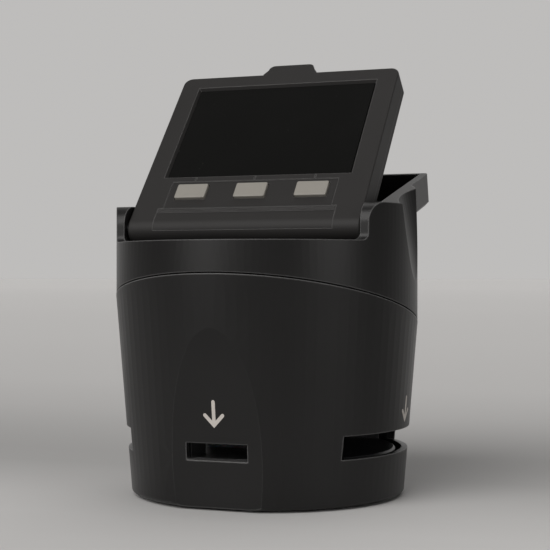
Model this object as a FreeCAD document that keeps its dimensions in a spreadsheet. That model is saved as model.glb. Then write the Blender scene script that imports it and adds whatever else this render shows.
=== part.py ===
import FreeCAD, Part
import math
import operator
import os
from types import SimpleNamespace

import Sketcher
from FreeCAD import Placement, Rotation, Vector

# Film negative scanner: a round housing with a wide channel from side to side for film
# and slides and a narrow one from front to back for small film. The top moulding is a
# collar with a sloping tray, and the display folds up out of that tray on a hinge.
# Millimetres, +Z up, +X to the right, the front faces -Y. The origin lies on the table
# under the middle of the housing.

SIZES = {
    # housing, lower half
    "foot_height": 1.0,
    "base_radius": 52.8,
    "base_edge_round": 1.4,
    "shell_wall": 2.4,
    "seam_radius": 59.7,
    "seam_height": 84.95,
    "seam_angle": 14.2,
    "seam_gap": 0.6,
    # arch shaped flat on the front
    "facet_foot_depth": 2.6,
    "facet_end_drop": 14.45,
    "facet_end_out": 0.6,
    "facet_arc_radius": 440.0,
    # film channels
    "channel_half_width": 34.0,
    "channel_floor": 18.2,
    "channel_height": 8.5,
    "small_channel_half_width": 11.75,
    "small_channel_rise": 0.4,
    "small_channel_height": 5.7,
    "small_channel_lip_inset": 1.0,
    "small_channel_lip": 1.1,
    # housing, upper half
    "collar_inset": 1.3,
    "collar_shift": 1.1,
    "collar_wall": 2.8,
    "collar_hem": 35.0,
    "rim_rise": 11.95,
    "rim_corner_round": 2.5,
    "ear_rise": 9.1,
    "ear_reach": 6.9,
    "ear_round": 7.5,
    "lip_wall": 1.5,
    "lip_clearance": 0.2,
    "lip_reach": 3.0,
    "lip_root": 5.0,
    # finger scoops in the sides
    "scoop_radius": 38.0,
    "scoop_angle": 11.2,
    "scoop_tip_drop": 4.45,
    "scoop_y": 7.2,
    "scoop_reach": 60.0,
    # tray, in a frame tilted about the hinge axis
    "tray_angle": 14.0,
    "tray_side_inset": 11.4,
    "tray_side_wall": 3.0,
    "tray_rim": 5.15,
    "tray_floor_gap": 0.6,
    "deck_wall": 2.2,
    "tray_front": 20.0,
    "tray_rear_wall": 1.9,
    "tray_corner_round": 2.0,
    "tray_edge_chamfer": 1.6,
    "trough_clearance": 0.65,
    "deck_step": 8.0,
    "tab_clearance": 0.7,
    # display hinge
    "hinge_setback": 35.4,
    "hinge_rise": 16.75,
    "display_angle": 49.2,
    "barrel_radius": 5.45,
    "pin_radius": 2.0,
    "pin_clearance": 0.05,
    "pin_grip": 11.0,
    "pin_seat": 2.6,
    "pin_collar_radius": 3.6,
    "pin_collar": 0.45,
    # display, in a frame that turns with it
    "panel_side_gap": 0.6,
    "panel_end_gap": 0.6,
    "panel_thickness": 10.9,
    "panel_corner_round": 3.6,
    "panel_edge_round": 0.7,
    "panel_front_wall": 1.6,
    "panel_side_wall": 2.0,
    "panel_cavity_start": 9.7,
    "tab_length": 5.0,
    "tab_base_half_width": 10.2,
    "tab_top_half_width": 7.0,
    "tab_round": 2.6,
    "tab_thickness": 4.6,
    "window_side_margin": 8.0,
    "window_start": 22.7,
    "window_top_margin": 6.5,
    "window_bevel": 1.0,
    "button_half_width": 6.3,
    "button_half_height": 3.6,
    "button_spacing": 24.4,
    "button_line": 14.7,
    "button_stand": 0.8,
    "button_clearance": 0.2,
    "button_flange": 1.0,
    "button_corner_round": 0.7,
    "button_edge_round": 0.35,
    "button_travel": 0.6,
    "button_rest_gap": 0.1,
    "field_side_margin": 3.2,
    "field_below": 8.4,
    "field_above": 5.6,
    "field_depth": 0.3,
    "tick_length": 1.6,
    "tick_width": 0.7,
    "tick_height": 0.3,
    "cover_inset": 0.3,
    "cover_lead": 1.55,
    "cover_thickness": 2.6,
    "cover_top_bevel": 3.0,
    "cover_side_bevel": 0.9,
    "cover_hollow": 1.2,
    "cover_hollow_inset": 3.6,
    "hinge_cover_margin": 2.0,
    "hinge_cover_gap": 0.1,
    "hinge_cover_wall": 0.9,
    "hinge_cover_angle": 43.0,
    "hinge_cover_play_angle": 1.0,
    "trim_clearance": 0.06,
    "glass_side_margin": 0.6,
    "glass_margin": 2.2,
    "glass_thickness": 1.0,
    "lcd_thickness": 3.0,
    "board_thickness": 1.2,
    "button_board_gap": 2.4,
    "button_board_half_height": 4.9,
    "switch_half_width": 2.6,
    "display_screw_inset": 5.0,
    "display_screw_lead": 3.3,
    "display_screw_top_inset": 5.3,
    "screw_radius": 1.0,
    "screw_head_radius": 1.9,
    "screw_head": 1.2,
    "screw_slack": 0.05,
    "screw_bite": 3.4,
    "display_boss_radius": 2.3,
    # base plate, feet and screws
    "plate_clearance": 0.25,
    "plate_thickness": 2.6,
    "foot_radius": 5.5,
    "foot_inset": 14.7,
    "foot_seat": 0.7,
    "foot_edge_round": 0.5,
    "base_screw_inset": 4.7,
    "base_boss_radius": 3.2,
    "base_boss_gap": 1.6,
    "base_screw_bite": 6.8,
    # film guides
    "guide_clearance": 0.9,
    "guide_flange": 3.2,
    "guide_edge_chamfer": 0.7,
    "lamp_house_margin": 11.4,
    "lamp_house_wall": 2.4,
    "film_window_half_length": 18.6,
    "film_window_half_width": 12.6,
    "diffuser_seat": 1.6,
    "diffuser_thickness": 2.0,
    "lamp_half_width": 2.6,
    "lamp_thickness": 1.1,
    "lamp_spacing": 13.0,
    # lens and sensor
    "tower_margin": 4.4,
    "tower_wall": 1.6,
    "tower_height": 28.0,
    "tower_top_half_width": 15.0,
    "tower_flange": 4.0,
    "tower_plate": 1.8,
    "lens_radius": 6.4,
    "lens_barrel_wall": 1.6,
    "lens_barrel_length": 15.0,
    "lens_barrel_drop": 7.0,
    "lens_collar_reach": 2.0,
    "lens_collar": 1.8,
    "lens_edge": 1.2,
    "lens_bulge_radius": 16.0,
    "lens_rest": 1.0,
    "sensor_post_radius": 1.7,
    "sensor_post_inset": 2.6,
    "sensor_gap": 2.5,
    "sensor_half_length": 4.6,
    "sensor_half_width": 3.6,
    "sensor_thickness": 1.1,
    # main board and rear sockets
    "main_board_lift": 0.8,
    "main_board_front": 14.0,
    "main_board_side_gap": 19.5,
    "main_board_rear_gap": 1.3,
    "main_board_tail_inset": 2.6,
    "main_boss_side_inset": 5.0,
    "main_boss_front_inset": 6.0,
    "main_boss_rear_inset": 8.0,
    "main_boss_radius": 3.0,
    "port_recess_edge": 0.15,
    "port_recess_margin": 0.9,
    "port_recess_rise": 4.25,
    "port_recess_height": 8.4,
    "port_wall": 2.2,
    "port_margin": 2.2,
    "port_clearance": 0.15,
    "port_gap": 1.4,
    "socket_wall": 0.35,
    "card_half_width": 12.9,
    "card_height": 2.8,
    "card_depth": 27.0,
    "video_half_width": 5.6,
    "video_height": 3.3,
    "video_depth": 11.0,
    "cable_half_width": 3.8,
    "cable_height": 2.9,
    "cable_depth": 9.0,
    # power button at the rear
    "power_gap": 7.8,
    "power_radius": 4.0,
    "power_flange": 1.2,
    "power_stand": 0.9,
    "power_travel": 0.6,
    "power_switch_depth": 3.5,
    "power_switch_half_width": 3.0,
    "power_board_half_width": 7.0,
    "power_board_drop": 5.8,
    "power_rib": 2.0,
    # room that every cut runs past the solid that it cuts
    "overrun": 6.0,
}

# Two places this share of the overrun apart count as one.
NEAR_SHARE = 0.0001

OPERATIONS = {"+": operator.add, "-": operator.sub, "*": operator.mul, "/": operator.truediv}


class Size:
    """A length or an angle: its value, and the sheet expression that gives it."""

    def __init__(self, value, text):
        self.value = float(value)
        self.text = text

    def __add__(self, other):
        return joined(self, "+", other)

    def __radd__(self, other):
        return joined(other, "+", self)

    def __sub__(self, other):
        return joined(self, "-", other)

    def __rsub__(self, other):
        return joined(other, "-", self)

    def __mul__(self, other):
        return joined(self, "*", other)

    def __rmul__(self, other):
        return joined(other, "*", self)

    def __truediv__(self, other):
        return joined(self, "/", other)

    def __neg__(self):
        return Size(-self.value, "(-" + self.text + ")")


def as_size(number):
    """A plain number as a size, and a size as it is."""
    return number if isinstance(number, Size) else Size(number, repr(number))


def joined(left, sign, right):
    left = as_size(left)
    right = as_size(right)
    value = OPERATIONS[sign](left.value, right.value)
    return Size(value, "(" + left.text + " " + sign + " " + right.text + ")")


def sine(angle):
    return Size(math.sin(math.radians(angle.value)), "sin(" + angle.text + ")")


def cosine(angle):
    return Size(math.cos(math.radians(angle.value)), "cos(" + angle.text + ")")


def root(size):
    return Size(math.sqrt(size.value), "sqrt(" + size.text + ")")


doc = FreeCAD.newDocument("film_scanner")
sheet = doc.addObject("Spreadsheet::Sheet", "Sizes")
for row, (alias, number) in enumerate(SIZES.items(), start=1):
    sheet.set("A" + str(row), alias)
    sheet.set("B" + str(row), str(number))
    sheet.setAlias("B" + str(row), alias)
doc.recompute()
S = SimpleNamespace(**{name: Size(number, "Sizes." + name) for name, number in SIZES.items()})


# Helpers: bind a property, place a piece, draw an outline, and the usual features.

def bind(item, **sizes):
    """Set properties from sizes and keep them bound to the sheet."""
    for name, size in sizes.items():
        size = as_size(size)
        setattr(item, name, size.value)
        item.setExpression(name, size.text)


def place(item, x=0, y=0, z=0, angle=None, axis=(1, 0, 0)):
    """Place a piece at x, y, z, turned by an angle about an axis through that point."""
    spots = [as_size(number) for number in (x, y, z)]
    turn = Rotation(Vector(*axis), angle.value) if angle else Rotation(Vector(*axis), 0)
    item.Placement = Placement(Vector(*[spot.value for spot in spots]), turn)
    for letter, spot in zip("xyz", spots):
        item.setExpression("Placement.Base." + letter, spot.text)
    if angle:
        item.setExpression("Placement.Rotation.Angle", angle.text)
    return item


def on_hinge(item, angle):
    """Place a piece that is drawn about the hinge axis, turned up by an angle."""
    return place(item, 0, S.hinge_y, S.hinge_z, angle)


def new_body(label):
    body = doc.addObject("PartDesign::Body", label)
    body.Label = label
    return body


def new_sketch(body, role, height=0):
    """A sketch on one of the body's own origin planes, moved along its normal."""
    sketch = body.newObject("Sketcher::SketchObject", body.Label + "_sketch")
    plane = next(item for item in body.Origin.OriginFeatures if item.Role == role)
    sketch.AttachmentSupport = [(plane, "")]
    sketch.MapMode = "FlatFace"
    height = as_size(height)
    sketch.AttachmentOffset = Placement(Vector(0, 0, height.value), Rotation())
    sketch.setExpression("AttachmentOffset.Base.z", height.text)
    return sketch


def fix(sketch, kind, *where, size):
    """Add a dimension to a sketch, bound to a size."""
    index = sketch.addConstraint(Sketcher.Constraint(kind, *where, size.value))
    sketch.setExpression("Constraints[" + str(index) + "]", size.text)


def arc_between(start, end, radius):
    """The arc from start to end: counter-clockwise for a positive radius."""
    chord = end - start
    height = math.sqrt(max(radius * radius - chord.Length * chord.Length / 4, 0))
    side = Vector(-chord.y, chord.x, 0).normalize() * math.copysign(height, radius)
    centre = (start + end) / 2 + side
    first, last = (start, end) if radius > 0 else (end, start)
    angles = [math.atan2(point.y - centre.y, point.x - centre.x) for point in (first, last)]
    circle = Part.Circle(centre, Vector(0, 0, 1), abs(radius))
    return Part.ArcOfCircle(circle, angles[0], angles[1])


def outline(sketch, points):
    """A closed outline. A point is (x, y), or (x, y, radius) where an arc starts."""
    spots = [(as_size(point[0]), as_size(point[1])) for point in points]
    vectors = [Vector(x.value, y.value, 0) for x, y in spots]
    edges = []
    for index, point in enumerate(points):
        start = vectors[index]
        end = vectors[(index + 1) % len(points)]
        if len(point) == 3:
            radius = as_size(point[2])
            edge = sketch.addGeometry(arc_between(start, end, radius.value), False)
            ends = (1, 2) if radius.value > 0 else (2, 1)
            fix(sketch, "Radius", edge, size=radius if radius.value > 0 else -radius)
        else:
            edge = sketch.addGeometry(Part.LineSegment(start, end), False)
            ends = (1, 2)
        edges.append((edge, ends))
    for index, (edge, ends) in enumerate(edges):
        before, before_ends = edges[index - 1]
        sketch.addConstraint(Sketcher.Constraint("Coincident", before, before_ends[1], edge, ends[0]))
        x, y = spots[index]
        for kind, size, axis in (("DistanceX", x, -2), ("DistanceY", y, -1)):
            if size.value:
                fix(sketch, kind, -1, 1, edge, ends[0], size=size)
            else:
                sketch.addConstraint(Sketcher.Constraint("PointOnObject", edge, ends[0], axis))
    return sketch


def rectangle(sketch, x_low, x_high, y_low, y_high):
    return outline(sketch, [(x_low, y_low), (x_high, y_low), (x_high, y_high), (x_low, y_high)])


def rounded(x_half, y_low, y_high, radius):
    """The points of a rectangle about the upright axis with four round corners."""
    x_in = x_half - radius
    return [
        (-x_in, y_low), (x_in, y_low, radius),
        (x_half, y_low + radius), (x_half, y_high - radius, radius),
        (x_in, y_high), (-x_in, y_high, radius),
        (-x_half, y_high - radius), (-x_half, y_low + radius, radius),
    ]


def circle(sketch, x, y, radius):
    x, y, radius = as_size(x), as_size(y), as_size(radius)
    shape = Part.Circle(Vector(x.value, y.value, 0), Vector(0, 0, 1), radius.value)
    edge = sketch.addGeometry(shape, False)
    fix(sketch, "Radius", edge, size=radius)
    for kind, size, axis in (("DistanceX", x, -2), ("DistanceY", y, -1)):
        if size.value:
            fix(sketch, kind, -1, 1, edge, 3, size=size)
        else:
            sketch.addConstraint(Sketcher.Constraint("PointOnObject", edge, 3, axis))
    return sketch


def swept(body, kind, sketch, length, both=False, back=False):
    """A Pad or a Pocket of a sketch; both goes the length in all, half each way."""
    feature = body.newObject("PartDesign::" + kind, body.Label + "_" + kind.lower())
    feature.Profile = sketch
    feature.Type = 0
    bind(feature, Length=length)
    feature.SideType = "Symmetric" if both else "One side"
    feature.Reversed = back
    sketch.Visibility = False
    return feature


def turned(body, kind, sketch):
    """A Revolution or a Groove about the sketch's upright axis."""
    feature = body.newObject("PartDesign::" + kind, body.Label + "_" + kind.lower())
    feature.Profile = sketch
    feature.ReferenceAxis = (sketch, ["V_Axis"])
    feature.Angle = 360
    return feature


def dressed(body, kind, base, edges, size):
    """A Fillet or a Chamfer on some edges of the body's last feature."""
    feature = body.newObject("PartDesign::" + kind, body.Label + "_" + kind.lower())
    feature.Base = (base, edges)
    bind(feature, **{"Radius" if kind == "Fillet" else "Size": size})
    return feature


def edges_where(feature, test):
    """The names of the edges whose middle point and box pass a test."""
    doc.recompute()
    names = []
    for index, edge in enumerate(feature.Shape.Edges, start=1):
        middle = edge.valueAt((edge.FirstParameter + edge.LastParameter) / 2)
        if test(middle, edge.BoundBox):
            names.append("Edge" + str(index))
    return names


def near(number, size):
    """Whether a measured place is the one that a size gives."""
    return abs(number - as_size(size).value) < S.overrun.value * NEAR_SHARE


def prism(label, role, points, length, both=False, height=0, back=False):
    """A body that is one outline padded along the normal of its plane."""
    body = new_body(label)
    swept(body, "Pad", outline(new_sketch(body, role, height), points), length, both, back)
    return body


def block(label, x_low, x_high, y_low, y_high, z_low, z_high):
    box = doc.addObject("Part::Box", label)
    box.Label = label
    x_low, y_low, z_low = as_size(x_low), as_size(y_low), as_size(z_low)
    bind(box, Length=x_high - x_low, Width=y_high - y_low, Height=z_high - z_low)
    return place(box, x_low, y_low, z_low)


def rod(label, radius, height, x=0, y=0, z=0, angle=None, axis=(1, 0, 0)):
    cylinder = doc.addObject("Part::Cylinder", label)
    cylinder.Label = label
    bind(cylinder, Radius=radius, Height=height)
    return place(cylinder, x, y, z, angle, axis)


def cut(label, base, *tools):
    """The base less each tool in turn; the last result carries the label."""
    for tool in tools:
        feature = doc.addObject("Part::Cut", label + "_cut")
        feature.Base = base
        feature.Tool = tool
        base = feature
    base.Label = label
    return base


def fused(label, *shapes):
    feature = doc.addObject("Part::MultiFuse", label)
    feature.Shapes = list(shapes)
    feature.Label = label
    return feature


def common(label, *shapes):
    feature = doc.addObject("Part::MultiCommon", label)
    feature.Shapes = list(shapes)
    feature.Label = label
    return feature


nodes = []


def keep(item, label=None):
    """Count a finished piece among those that are written out."""
    if label:
        item.Label = label
    nodes.append(item)
    return item


# Sizes that follow from the driving ones.

QUARTER = Size(90, "90")
HALF = Size(0.5, "0.5")

# housing and channels
far = S.seam_radius + S.overrun
wall_slope = (S.seam_radius - S.base_radius) / (S.seam_height - S.foot_height)
S.facet_end_height = S.seam_height - S.facet_end_drop
S.channel_roof = S.channel_floor + S.channel_height
S.small_channel_floor = S.channel_floor + S.small_channel_rise
S.small_channel_roof = S.small_channel_floor + S.small_channel_height
S.small_channel_lip_y = S.base_radius - S.small_channel_lip_inset
S.collar_radius = S.seam_radius - S.collar_inset
S.collar_foot = S.seam_height - S.collar_hem
S.rim_height = S.seam_height + S.rim_rise
S.scoop_tip_height = S.seam_height - S.scoop_tip_drop
inner_wall = S.collar_radius - S.collar_wall

# tray and hinge
slope_sin = sine(S.tray_angle)
slope_cos = cosine(S.tray_angle)
S.hinge_y = S.hinge_setback - S.collar_radius - S.collar_shift
S.hinge_z = S.seam_height + S.hinge_rise
S.ear_top = S.hinge_z + S.ear_rise
S.ear_front = S.ear_reach - S.hinge_y
S.tray_inner_half_width = S.collar_radius - S.tray_side_inset
S.tray_half_width = S.tray_inner_half_width + S.tray_side_wall
S.tray_floor = S.panel_thickness - S.barrel_radius + S.tray_floor_gap
S.tray_length = (S.collar_radius - S.collar_shift - S.hinge_y) / slope_cos
top = S.hinge_z + S.tray_length

# display
S.panel_half_width = S.tray_inner_half_width - S.panel_side_gap
S.panel_length = S.tray_length - S.tray_rear_wall - S.panel_end_gap
S.window_half_width = S.panel_half_width - S.window_side_margin
S.window_end = S.panel_length - S.window_top_margin
S.field_half_width = S.button_spacing + S.button_half_width + S.field_side_margin
S.field_start = S.button_line - S.field_below
S.field_end = S.button_line + S.field_above
S.cover_half_width = S.panel_half_width - S.cover_inset
S.cover_start = S.barrel_radius + S.cover_lead
S.hinge_cover_half_width = S.field_half_width + S.hinge_cover_margin
S.hinge_cover_start = S.field_start - S.hinge_cover_gap
S.glass_half_width = S.window_half_width + S.glass_side_margin
S.display_screw_x = S.panel_half_width - S.display_screw_inset
S.display_screw_low = S.panel_cavity_start + S.display_screw_lead
S.display_screw_high = S.panel_length - S.display_screw_top_inset
S.button_board_half_width = S.display_screw_x - S.display_boss_radius - S.button_board_gap

# base, guides, lens and sensor
plate_top = S.foot_height + S.plate_thickness
S.foot_circle = S.base_radius - S.foot_inset
S.base_screw_circle = S.base_radius - S.base_screw_inset
S.base_boss_top = S.channel_floor - S.guide_flange - S.base_boss_gap
S.guide_radius = S.base_radius - S.shell_wall - S.guide_clearance
S.lamp_house_half_length = S.film_window_half_length + S.lamp_house_margin
S.lamp_house_half_width = S.film_window_half_width + S.lamp_house_margin
S.tower_half_length = S.film_window_half_length + S.tower_margin
S.tower_half_width = S.film_window_half_width + S.tower_margin
S.lens_collar_radius = S.lens_radius + S.lens_barrel_wall + S.lens_collar_reach
S.sensor_post_place = S.tower_top_half_width - S.sensor_post_inset
S.sensor_post_height = S.lens_barrel_length - S.lens_barrel_drop + S.sensor_gap
tower_foot = S.channel_roof + S.guide_flange
sensor_height = tower_foot + S.tower_height + S.sensor_post_height

# sockets and main board
S.port_recess_half_width = (S.card_half_width + S.video_half_width + S.cable_half_width
                            + S.port_gap + S.port_recess_margin)
S.port_recess_y = (root(S.collar_radius * S.collar_radius
                        - S.port_recess_half_width * S.port_recess_half_width)
                   - S.collar_shift - S.port_recess_edge)
S.port_recess_low = S.seam_height + S.port_recess_rise
S.port_recess_high = S.port_recess_low + S.port_recess_height
S.main_board_height = S.port_recess_low + S.main_board_lift
S.main_board_half_width = inner_wall - S.main_board_side_gap
S.main_board_shoulder = S.main_board_half_width
S.main_board_rear = S.port_recess_y - S.port_wall - S.main_board_rear_gap
S.main_board_tail_half_width = S.port_recess_half_width - S.main_board_tail_inset
S.main_boss_x = S.main_board_half_width - S.main_boss_side_inset
S.main_boss_front = S.main_board_front - S.main_boss_front_inset
S.main_boss_rear = S.main_board_shoulder - S.main_boss_rear_inset
board_top = S.main_board_height + S.board_thickness
S.power_height = S.port_recess_high + S.power_gap
S.power_board_low = S.power_height - S.power_board_drop

# the power button, its switch and their board, from the wall inwards
power_flange_radius = S.power_radius + S.power_flange
power_wall_y = (root(inner_wall * inner_wall - power_flange_radius * power_flange_radius)
                - S.collar_shift)
power_flange_y = power_wall_y - S.button_rest_gap - S.power_flange
power_switch_y = power_flange_y - S.power_travel - S.button_rest_gap
power_board_y = power_switch_y - S.power_switch_depth

# levels of the display, measured from the hinge axis towards its front
panel_front = S.barrel_radius
panel_split = S.barrel_radius - S.panel_thickness + S.cover_thickness
panel_back = S.barrel_radius - S.panel_thickness
glass_front = panel_front - S.panel_front_wall
button_flange_low = glass_front - S.button_rest_gap - S.button_flange
switch_top = button_flange_low - S.button_travel - S.button_rest_gap


def shell_radius(height):
    """Radius of the lower shell's outside at a height."""
    return S.base_radius + wall_slope * (height - S.foot_height)


def slope_height(y, lift):
    """Height at y of a plane that lies lift above the hinge axis, parallel to the tray."""
    return S.hinge_z + (lift + (y - S.hinge_y) * slope_sin) / slope_cos


def main_boss_places():
    """Where the main board's four bosses stand, as seen from above."""
    rows = (-S.main_boss_front, S.main_boss_rear)
    return [(side * S.main_boss_x, y) for y in rows for side in (-1, 1)]


def sockets():
    """Name, middle, half width, height and depth of the sockets, from left to right."""
    wanted = (
        ("card_socket", S.card_half_width, S.card_height, S.card_depth),
        ("video_socket", S.video_half_width, S.video_height, S.video_depth),
        ("cable_socket", S.cable_half_width, S.cable_height, S.cable_depth),
    )
    edge = -(S.card_half_width + S.video_half_width + S.cable_half_width + S.port_gap)
    placed = []
    for name, half, height, depth in wanted:
        placed.append((name, edge + half, half, height, depth))
        edge = edge + 2 * half + S.port_gap
    return placed


def seam_level(y):
    """Height of the seam's plane, which slopes down from the front to the rear."""
    fall = (y + S.collar_radius + S.collar_shift) * sine(S.seam_angle) / cosine(S.seam_angle)
    return S.seam_height - fall


def below_seam(label, lift):
    """Everything under the seam's plane, with the plane raised by lift."""
    points = [(-far, -far), (far, -far), (far, seam_level(far)), (-far, seam_level(-far))]
    return place(prism(label, "YZ_Plane", points, 2 * far, both=True), 0, 0, lift)


# Lower shell: a tapering tube, cut off by the sloping seam, with the flat on its front,
# the mouths of both film channels and four screw bosses inside.

def facet_block(label, inset):
    """What the arch shaped flat takes off the front, moved in by inset."""
    foot_y = inset - (S.base_radius - S.facet_foot_depth)
    end_y = inset - (shell_radius(S.facet_end_height) + S.facet_end_out)
    points = [
        (-far, -S.foot_height), (foot_y, -S.foot_height),
        (foot_y, S.foot_height, S.facet_arc_radius), (end_y, S.facet_end_height),
        (-far, S.facet_end_height),
    ]
    return prism(label, "YZ_Plane", points, 2 * far, both=True)


def cone_within(label, gap):
    """A solid cone that lies a gap inside the lower shell's wall."""
    low = -S.overrun
    high = S.seam_height + 2 * S.overrun
    inset = S.shell_wall + gap
    body = new_body(label)
    profile = outline(new_sketch(body, "XZ_Plane"), [
        (0, low), (shell_radius(low) - inset, low), (shell_radius(high) - inset, high), (0, high),
    ])
    turned(body, "Revolution", profile)
    return body


def make_lower_shell():
    cone_top = S.seam_height + S.overrun
    edge = S.base_edge_round
    body = new_body("shell_outside")
    profile = outline(new_sketch(body, "XZ_Plane"), [
        (0, S.foot_height), (S.base_radius - edge, S.foot_height, edge),
        (shell_radius(S.foot_height + edge), S.foot_height + edge),
        (shell_radius(cone_top), cone_top), (0, cone_top),
    ])
    turned(body, "Revolution", profile)
    outside = cut("shell_faceted", body, facet_block("facet", 0))
    inside = cut("shell_core", cone_within("shell_inside", 0), facet_block("facet_inner", S.shell_wall))
    tube = common("shell_tube", cut("shell_open", outside, inside), below_seam("seam_low", 0))

    bosses = []
    pilots = []
    for index in range(4):
        x, y = corner_place(index, S.base_screw_circle)
        length = S.base_boss_top - plate_top
        name = str(index + 1)
        bosses.append(rod("base_boss_" + name, S.base_boss_radius, length, x, y, plate_top))
        pilots.append(rod("base_pilot_" + name, S.screw_radius + S.screw_slack,
                          S.base_screw_bite + S.screw_slack + S.overrun, x, y, plate_top - S.overrun))
    solid = fused("shell_bossed", tube, *bosses)
    side = block("side_channel_mouths", -far, far, -S.channel_half_width, S.channel_half_width,
                 S.channel_floor, S.channel_roof)
    lip_y = S.small_channel_lip_y
    lip_z = S.small_channel_floor - S.small_channel_lip
    small = prism("small_channel_mouths", "YZ_Plane", [
        (-far, lip_z), (-lip_y, lip_z), (S.small_channel_lip - lip_y, S.small_channel_floor),
        (far, S.small_channel_floor), (far, S.small_channel_roof), (-far, S.small_channel_roof),
    ], 2 * S.small_channel_half_width, both=True)
    return keep(cut("lower_shell", solid, side, small, *pilots))


def corner_place(index, circle_radius):
    """Place number index of four on a circle, half way between the axes."""
    x_sign = (1, -1, -1, 1)[index]
    y_sign = (1, 1, -1, -1)[index]
    reach = circle_radius * root(HALF)
    return x_sign * reach, y_sign * reach


# Upper shell: the collar with its ears and finger scoops, the tray that overhangs it at
# the rear corners, the trough for the display's barrel and the recess for the sockets.

def scoop(label, side, wall):
    """The tilted cylinder that hollows a side of the collar, larger by a wall."""
    radius = S.scoop_radius + wall
    tilt_sin = sine(S.scoop_angle)
    tilt_cos = cosine(S.scoop_angle)
    x = S.collar_radius + S.scoop_radius * tilt_cos + S.scoop_reach * tilt_sin
    z = S.scoop_tip_height + S.scoop_radius * tilt_sin - S.scoop_reach * tilt_cos
    turn = S.scoop_angle * -side
    return rod(label, radius, 2 * S.scoop_reach, side * x, S.scoop_y, z, turn, (0, 1, 0))


def make_tray_block():
    """The tray's outside, drawn in the tilted frame about the hinge axis."""
    body = new_body("tray_outside")
    under = -(S.tray_floor + S.deck_wall)
    plan = outline(new_sketch(body, "XY_Plane", under), [
        (-S.tray_half_width, S.tray_front), (S.tray_half_width, S.tray_front),
        (S.tray_half_width, S.tray_length - S.tray_corner_round, S.tray_corner_round),
        (S.tray_half_width - S.tray_corner_round, S.tray_length),
        (S.tray_corner_round - S.tray_half_width, S.tray_length, S.tray_corner_round),
        (-S.tray_half_width, S.tray_length - S.tray_corner_round),
    ])
    pad = swept(body, "Pad", plan, S.tray_rim - under)
    low_edges = edges_where(pad, lambda middle, box: near(middle.z, under)
                            and middle.y > S.tray_front.value + S.overrun.value)
    dressed(body, "Chamfer", pad, low_edges, S.tray_edge_chamfer)
    return on_hinge(body, S.tray_angle)


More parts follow.
